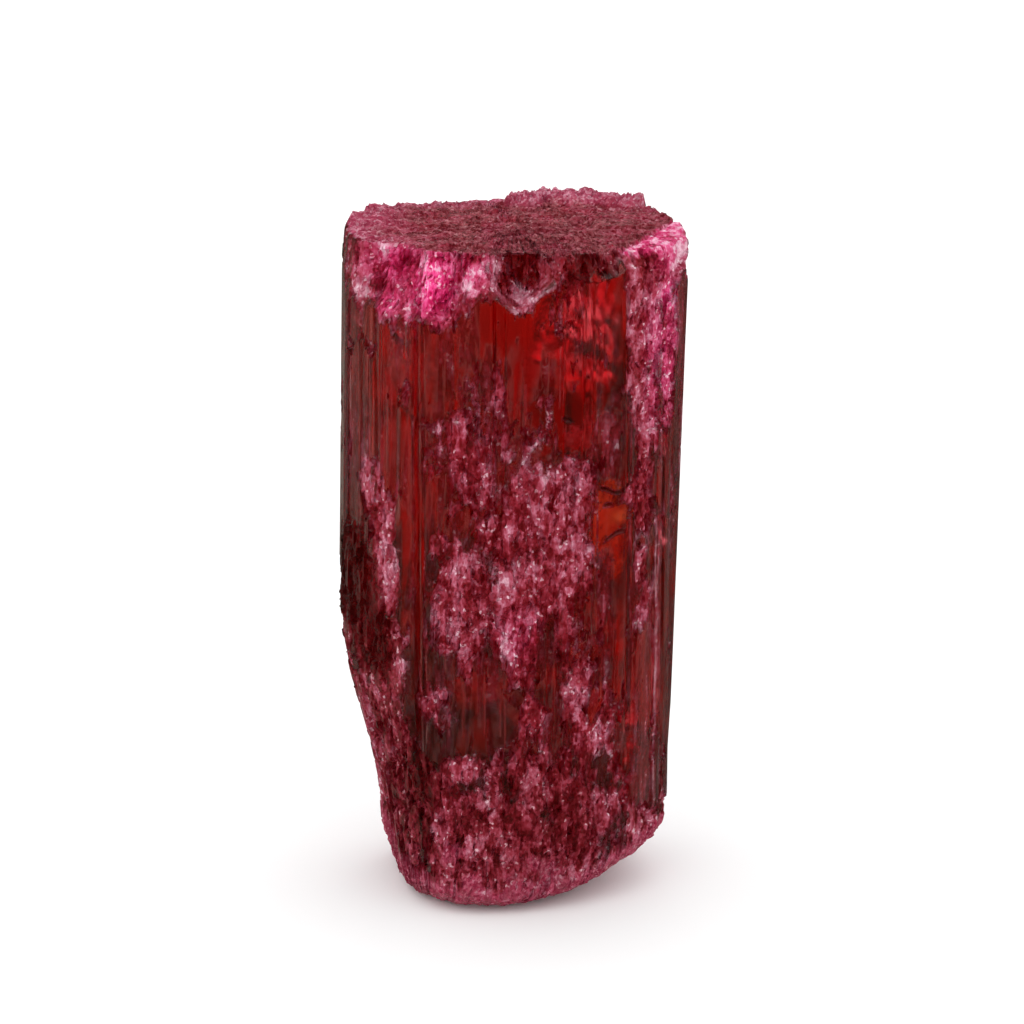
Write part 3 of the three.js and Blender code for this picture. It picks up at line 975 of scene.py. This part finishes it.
def make_inclusions(prism, shift):
    """Fractures and growth tubes, sealed under the skin."""
    rng = np.random.default_rng(INCLUSION_SEED)
    laid = []
    for group in (VEILS, OPEN_VEILS, STAINED_VEILS):
        sheets = []
        for across, up, depth, half_width, half_height, lean in group:
            middle, outward = under_skin(prism, front_column(prism, across, up), up, depth, half_height)
            sheets.append(veil(rng, middle, outward, half_width, half_height, lean))
        laid.append(sheets)
    for _ in range(SCATTERED_VEILS):
        up, depth = rng.uniform(*SCATTER_UP), rng.uniform(*SCATTER_DEPTH)
        wide, tall = rng.uniform(*SCATTER_HALF_WIDTH), rng.uniform(*SCATTER_HALF_HEIGHT)
        middle, outward = under_skin(prism, rng.integers(COLUMNS), up, depth, tall)
        laid[0].append(veil(rng, middle, outward, wide, tall, rng.uniform(*SCATTER_LEAN)))
    tubes = []
    for _ in range(GROWTH_TUBES):
        up, depth, length = rng.uniform(*TUBE_UP), rng.uniform(*TUBE_DEPTH), rng.uniform(*TUBE_LENGTH)
        middle, _ = under_skin(prism, rng.integers(COLUMNS), up, depth, length / 2)
        tubes.append(tube(rng, middle, length))
    return [joined(name, parts, shift) for name, parts in zip(SEALED, (*laid, tubes))]


# ---------------------------------------------------------------- materials
def hex_colour(text):
    """An sRGB hex colour as the linear colour that nodes take."""
    parts = [int(text[k:k + 2], 16) / 255 for k in (1, 3, 5)]
    linear = [p / 12.92 if p <= 0.04045 else ((p + 0.055) / 1.055) ** 2.4 for p in parts]
    return (*linear, 1.0)


def add(tree, kind, *inputs, named=None, stops=(), **settings):
    """Adds a node. Its inputs take values, nodes or sockets, in the order that it shows them or by name.

    A node that is linked gives the first output that it shows. Stops are a ramp's levels and hex colours.
    """
    node = tree.nodes.new("ShaderNode" + kind)
    for key, value in settings.items():
        setattr(node, key, value)
    while stops and len(node.color_ramp.elements) < len(stops):
        node.color_ramp.elements.new(0.5)
    for number, (level, colour) in enumerate(stops):
        node.color_ramp.elements[number].position = level
        node.color_ramp.elements[number].color = hex_colour(colour)
    shown = [socket for socket in node.inputs if socket.enabled]
    by_name = [(node.inputs[name], value) for name, value in (named or {}).items()]
    for socket, value in [*zip(shown, inputs), *by_name]:
        if isinstance(value, bpy.types.Node):
            value = next(output for output in value.outputs if output.enabled)
        if isinstance(value, bpy.types.NodeSocket):
            tree.links.new(value, socket)
        else:
            socket.default_value = value
    return node


# Settings that many nodes share
TIMES = {"operation": "MULTIPLY"}
TIMES_PLUS = {"operation": "MULTIPLY_ADD"}
EASED = {"interpolation_type": "SMOOTHSTEP"}
COLOURS = {"data_type": "RGBA"}

# Pattern sizes in millimetres: width round the crystal, and height.
# Etching leaves flakes along the crystal, the larger ones made of smaller ones.
BLOCK = (1.1, 2.2)
CHUNK = (0.5, 0.9)
# Sugar grains and etch facets go down to about 0.05 mm. They are drawn at 0.2 mm, the finest that shows.
GRAIN = (0.20, 0.20)
SALT = (0.26, 0.26)
FINE_FROST = (0.30, 0.45)
FROST_STREAKS = (0.30, 2.4)
BROAD_FROST = (1.4, 2.8)
SUGAR_PATCHES = (2.2, 2.2)
# Growth lines go down to about 0.01 mm in width. They are drawn at 0.07 mm, the finest that shows.
GROWTH_LINES = (0.07, 9.0)
GROWTH_LINE_RELIEF = 0.006
ETCH_RELIEF = 0.08
DROPLET_LACE = (0.35, 0.6)
BROAD_LACE = (1.2, 1.8)

# Absorption of red tourmaline, per millimetre: green goes first, then blue, and red last.
ABSORBED_RED = 0.07
ABSORBED_GREEN = 0.80
ABSORBED_BLUE = 0.70

# How light each spot of the frost is, from shaded hollows to thin, pale edges
FROST = [
    (0.0, "#5c0a12"), (0.22, "#84141f"), (0.44, "#9c2a3a"),
    (0.66, "#ac4a5e"), (0.86, "#c07488"), (1.0, "#e8b4c2"),
]
# The same with a painted glow, where light comes through thin broken stone
GLOWING_FROST = [(0.0, "#80062c"), (0.3, "#c41254"), (0.55, "#ec2676"), (0.8, "#fa5ca0"), (1.0, "#ffd0e8")]
# The sugary termination and foot, in its brown-red and its rosier patches; the palest stop of each is a
# painted glint
DUSKY_SUGAR = [(0.28, "#440e18"), (0.48, "#742a30"), (0.66, "#94424c"), (0.84, "#b06068"), (1.0, "#dcb0b4")]
ROSY_SUGAR = [(0.28, "#640a18"), (0.48, "#902638"), (0.66, "#a84054"), (0.84, "#c06478"), (1.0, "#e4b0be")]

# Films in the fractures and tubes. Droplets of fluid scatter light. Gas mirrors it as metal does, so it glows
# in the crystal's own red. Iron oxide, left by water, turns it orange. IOR is that of a film inside stone.
DROPLETS = {"Roughness": 0.6, "IOR": 1.1, "Transmission Weight": 0.1}
FILMS = {
    "droplet_film": {"Base Color": hex_colour("#fff6f2"), **DROPLETS},
    "gas_film": {"Base Color": hex_colour("#fff0ec"), "Roughness": 0.2, "Metallic": 1.0},
    "iron_stained_film": {"Base Color": hex_colour("#f88448"), **DROPLETS},
}


def new_material(name):
    """A material with no nodes yet, and its tree."""
    material = bpy.data.materials.new(name)
    material.use_nodes = True
    material.node_tree.nodes.clear()
    return material, material.node_tree


def spread_over(tree, wide, tall):
    """The place on the crystal, scaled so that a pattern's features are this many millimetres across."""
    place = add(tree, "TexCoord").outputs["Object"]
    per_metre = (1 / (wide * MM), 1 / (wide * MM), 1 / (tall * MM))
    return add(tree, "VectorMath", place, per_metre, **TIMES)


def blotches(tree, size, detail=3.0, roughness=0.55):
    """Soft blotches of this size, from 0 to 1, with ragged outlines."""
    return add(tree, "TexNoise", spread_over(tree, *size), 1.0, detail, roughness)


def broken_faces(tree, size, torn):
    """A random colour for every cell of a pattern of small broken faces with torn outlines."""
    place = spread_over(tree, *size)
    off = add(tree, "TexNoise", place, 1.4, 3.0).outputs["Color"]
    place = add(tree, "VectorMath", off, (torn, torn, torn), place, **TIMES_PLUS)
    return add(tree, "TexVoronoi", place, 1.0).outputs["Color"]


def weighted_sum(tree, layers):
    """The sum of layers, each times its weight."""
    total = 0.0
    for layer, weight in layers:
        total = add(tree, "Math", layer, weight, total, **TIMES_PLUS)
    return total


def turned(tree, normal, colour, amount):
    """A normal turned by a random colour, so that each cell faces its own way."""
    off = add(tree, "VectorMath", colour, (0.5, 0.5, 0.5), operation="SUBTRACT")
    off = add(tree, "VectorMath", off, amount, operation="SCALE")
    both = add(tree, "VectorMath", normal, off, operation="ADD")
    return add(tree, "VectorMath", both, operation="NORMALIZE")


def sealed_film(name, look):
    """A lacy film in a fracture or a tube inside the crystal, densest in its middle."""
    material, tree = new_material(name)
    inner = add(tree, "Attribute", attribute_name="inner").outputs["Fac"]
    broad, fine = blotches(tree, BROAD_LACE), blotches(tree, DROPLET_LACE, 4, 0.7)
    lace = weighted_sum(tree, [(broad, 1.0), (fine, 0.7), (inner, 0.5)])
    cover = add(tree, "MapRange", lace, 0.86, 1.25, 0.0, 0.9, **EASED)
    add(tree, "OutputMaterial", add(tree, "BsdfPrincipled", named={**look, "Alpha": cover}))
    return material


def frosted_colour(tree, frost, grain, rose_and_glow, stain_and_shade):
    """Etched skin scatters light before much is absorbed, so it is pink. A glow through thin stone and
    sparkles on small facets are painted into its colour.
    """
    dull = add(tree, "ValToRGB", frost, stops=FROST)
    glowing = add(tree, "ValToRGB", frost, stops=GLOWING_FROST)
    colour = add(tree, "Mix", rose_and_glow, dull, glowing, **COLOURS)
    # Painted sparkle: the brightest small cells are painted near white.
    facets = add(tree, "MapRange", grain, 0.93, 0.97, **EASED)
    standing_out = add(tree, "MapRange", frost, 0.45, 0.75, **EASED)
    painted_sparkle = add(tree, "Math", facets, standing_out, **TIMES)
    painted_sparkle = add(tree, "Math", painted_sparkle, 0.5, **TIMES)
    colour = add(tree, "Mix", painted_sparkle, colour, hex_colour("#ffe6ee"), **COLOURS)
    # Darker with stains and with painted shade in cavities.
    return add(tree, "Mix", stain_and_shade, colour, hex_colour("#bc7c6c"), blend_type="MULTIPLY", **COLOURS)


def sugary_colour(tree, grain, rose_and_glow, pale, stain_and_shade):
    """Sugary skin is a crust of tiny crystal ends, dull brown-red with painted pale glints and rosier
    patches.
    """
    specks_and_glints = weighted_sum(tree, [(blotches(tree, SALT, 5, 0.7), 0.8), (grain, 0.45), (pale, 0.2)])
    dusky = add(tree, "ValToRGB", specks_and_glints, stops=DUSKY_SUGAR)
    rosy = add(tree, "ValToRGB", specks_and_glints, stops=ROSY_SUGAR)
    patches = weighted_sum(tree, [(blotches(tree, SUGAR_PATCHES, 4, 0.65), 1.0), (rose_and_glow, 0.35)])
    patches = add(tree, "MapRange", patches, 0.42, 0.64, **EASED)
    colour = add(tree, "Mix", patches, dusky, rosy, **COLOURS)
    # Pinker where a glow is painted, and darker with stains and painted shade.
    pinker = add(tree, "Math", rose_and_glow, 0.5, **TIMES)
    colour = add(tree, "Mix", pinker, colour, hex_colour("#cc4a78"), **COLOURS)
    darker = add(tree, "Math", stain_and_shade, 0.7, **TIMES)
    return add(tree, "Mix", darker, colour, hex_colour("#74141f"), **COLOURS)


def rubellite():
    """Elbaite coloured red by manganese: glassy on grown faces, frosted where natural acid has etched it.

    The body is clear and only absorbs light, so thin edges are magenta and thick parts deep red. Etched skin
    is a fine broken surface that scatters light before much is absorbed, so it looks pink and paler.
    """
    material, tree = new_material("rubellite")
    # Besides the stone's own colours, these masks carry painted light: a glow through thin edges, highlights
    # on ledges and ridges, and shade in cavities.
    etched, film, sugary, rose_and_glow, pale, stain_and_shade = (
        add(tree, "Attribute", attribute_name=name).outputs["Fac"]
        for name in ("etched", "film", "sugar", "rose_and_glow", "pale", "stain_and_shade")
    )
    fine = blotches(tree, FINE_FROST, 4, 0.65)
    streaks = blotches(tree, FROST_STREAKS)
    broad = blotches(tree, BROAD_FROST, 4, 0.6)
    blocks, chunks = broken_faces(tree, BLOCK, 1.1), broken_faces(tree, CHUNK, 1.1)
    grains = broken_faces(tree, GRAIN, 0.4)
    block, chunk, grain = (add(tree, "SeparateColor", faces) for faces in (blocks, chunks, grains))
    # What makes a spot of frost lighter or darker, and how much, with painted highlights lightening it and
    # painted shade darkening it
    frost = weighted_sum(tree, [
        (broad, 0.55), (fine, 0.45), (streaks, 0.30), (block, 0.16), (chunk, 0.19), (grain, 0.10),
        (pale, 0.24), (rose_and_glow, 0.10), (stain_and_shade, -0.22),
    ])
    frost = add(tree, "MapRange", frost, 0.50, 1.26, **EASED)
    frosted = frosted_colour(tree, frost, grain, rose_and_glow, stain_and_shade)
    sugared = sugary_colour(tree, grain, rose_and_glow, pale, stain_and_shade)
    skin = add(tree, "Mix", sugary, frosted, sugared, **COLOURS)

    # A film lies in streaks. The least film or etching hides the clear body's colour.
    veiled = add(tree, "MapRange", streaks, 0.3, 0.7, 0.08, 0.55, **EASED)
    veiled = add(tree, "Math", film, veiled, **TIMES)
    dulled = add(tree, "Math", etched, veiled, operation="MAXIMUM")
    dulled = add(tree, "MapRange", dulled, 0.0, 0.05, **EASED)
    colour = add(tree, "Mix", dulled, hex_colour("#ffece8"), skin, **COLOURS)
    cloudy = add(tree, "MapRange", frost, 0.1, 0.8, 0.32, 0.90, **EASED)
    cloudy = add(tree, "Mix", sugary, cloudy, 0.8)
    cloudy = add(tree, "Math", etched, cloudy, **TIMES)
    cloudy = add(tree, "Math", cloudy, veiled, operation="MAXIMUM")
    clear = add(tree, "Math", 1.0, cloudy, operation="SUBTRACT")
    etched_rough = add(tree, "MapRange", fine, 0.3, 0.7, 0.3, 0.5, **EASED)
    rough = add(tree, "Mix", etched, 0.26, etched_rough)
    gloss = add(tree, "Math", etched, -0.7, 1.0, **TIMES_PLUS)

    facing = add(tree, "NewGeometry").outputs["Normal"]
    facing = turned(tree, facing, chunks, add(tree, "Math", etched, 0.5, **TIMES))
    facing = turned(tree, facing, grains, add(tree, "Math", etched, 0.4, **TIMES))
    lines = blotches(tree, GROWTH_LINES, 2)
    facing = add(tree, "Bump", named={
        "Height": lines, "Distance": GROWTH_LINE_RELIEF * MM, "Strength": 0.6, "Normal": facing,
    })
    pits = add(tree, "Math", etched, fine, **TIMES)
    facing = add(tree, "Bump", named={"Height": pits, "Distance": ETCH_RELIEF * MM, "Normal": facing})

    shader = add(tree, "BsdfPrincipled", named={
        "Base Color": colour,
        "Roughness": rough,
        "IOR": 1.63,
        "Specular IOR Level": 0.3,
        "Specular Tint": hex_colour("#30100c"),
        "Transmission Weight": clear,
        "Coat Weight": gloss,
        "Coat Roughness": 0.06,
        "Normal": facing,
        "Coat Normal": facing,
    })
    # Density is the strongest absorption, and the colour is what is left of it at that density.
    left = [1 - part / ABSORBED_GREEN for part in (ABSORBED_RED, ABSORBED_GREEN, ABSORBED_BLUE)]
    depth = add(tree, "VolumeAbsorption", (*left, 1), ABSORBED_GREEN / MM)
    add(tree, "OutputMaterial", shader, depth)
    return material


# ---------------------------------------------------------------- floor, light and camera
LENS = 188.6
SENSOR_WIDTH = 36
CAMERA_ELEVATION = 17.4
CAMERA_DISTANCE = 400.0
AIM_HEIGHT = 28.7
FLOOR_RADIUS = 1600.0
FLOOR_SIDES = 96
LIGHT_STRENGTH = 1.35
WHITE = "#ffffff"

# The room that the faces mirror, from front to back: dim, with a bright strip at each side.
ROOM = [
    (0.0, "#685c50"), (0.15, "#5c5044"), (0.35, "#584c40"), (0.45, "#6a5c52"), (0.48, "#c0b4aa"),
    (0.53, "#c0b4aa"), (0.58, "#746860"),
]


def mirrored(tree):
    """1 for light mirrored off a glossy face, 0 for everything else."""
    path = add(tree, "LightPath").outputs
    reflection, diffuse = path["Is Reflection Ray"], path["Is Diffuse Ray"]
    return add(tree, "Math", reflection, diffuse, operation="SUBTRACT", use_clamp=True)


def make_stage():
    """A round white floor. The crystal's faces mirror the room below it instead of the floor's glare."""
    mesh = bpy.data.meshes.new("floor")
    turns = [math.tau * k / FLOOR_SIDES for k in range(FLOOR_SIDES)]
    edge = [(FLOOR_RADIUS * MM * math.cos(turn), FLOOR_RADIUS * MM * math.sin(turn), 0) for turn in turns]
    mesh.from_pydata(edge, [], [range(FLOOR_SIDES)])
    floor = new_object("floor", mesh)
    material, tree = new_material("white_paper")
    paper = add(tree, "BsdfPrincipled", named={"Base Color": hex_colour("#f6f6f6"), "Roughness": 0.9})
    shown = add(tree, "MixShader", mirrored(tree), paper, add(tree, "BsdfTransparent"))
    add(tree, "OutputMaterial", shown)
    mesh.materials.append(material)


def make_world():
    """Soft white light from all round. What the faces mirror is a dim, warm room, white overhead."""
    world = bpy.data.worlds.new("studio")
    world.use_nodes = True
    tree = world.node_tree
    tree.nodes.clear()
    parts = add(tree, "SeparateXYZ", add(tree, "TexCoord").outputs["Generated"]).outputs
    backward = add(tree, "Math", parts["Y"], 0.5, 0.5, **TIMES_PLUS)
    room = add(tree, "ValToRGB", backward, stops=ROOM)
    leftward = add(tree, "MapRange", parts["X"], -0.6, 0.4, 1.0, 0.55, **EASED)
    room = add(tree, "VectorMath", room, leftward, operation="SCALE")
    above = add(tree, "MapRange", parts["Z"], 0.5, 0.8, 0.0, 0.5, **EASED)
    room = add(tree, "Mix", above, room, hex_colour(WHITE), **COLOURS)
    light = add(tree, "Mix", mirrored(tree), hex_colour(WHITE), room, **COLOURS)
    add(tree, "OutputWorld", add(tree, "Background", light, LIGHT_STRENGTH))
    # Light comes from everywhere, so it is met often enough without being aimed for.
    world.cycles.sampling_method = "NONE"
    bpy.context.scene.world = world


def make_camera():
    """A long lens in front of the crystal, a little above it."""
    data = bpy.data.cameras.new("camera")
    data.lens = LENS
    data.sensor_width = SENSOR_WIDTH
    data.clip_start, data.clip_end = 0.01, 20
    camera = bpy.data.objects.new("camera", data)
    bpy.context.scene.collection.objects.link(camera)
    rise = math.radians(CAMERA_ELEVATION)
    away = CAMERA_DISTANCE * MM
    camera.location = (0, -away * math.cos(rise), AIM_HEIGHT * MM + away * math.sin(rise))
    camera.rotation_euler = (math.pi / 2 - rise, 0, 0)
    bpy.context.scene.camera = camera


make_camera()
make_world()
make_stage()
bpy.context.scene.view_settings.view_transform = "Standard"
# The crystal absorbs nearly all light within this many turns inside it.
bpy.context.scene.cycles.max_bounces = 8

crystal, prism, shift = make_crystal()
crystal.data.materials.append(rubellite())
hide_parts(NODE)
films = {name: sealed_film(name, look) for name, look in FILMS.items()}
inclusions = make_inclusions(prism, shift)
for piece in inclusions:
    piece.data.materials.append(films[SEALED[piece.name]])
for piece in (crystal, *inclusions):
    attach(piece, "root")
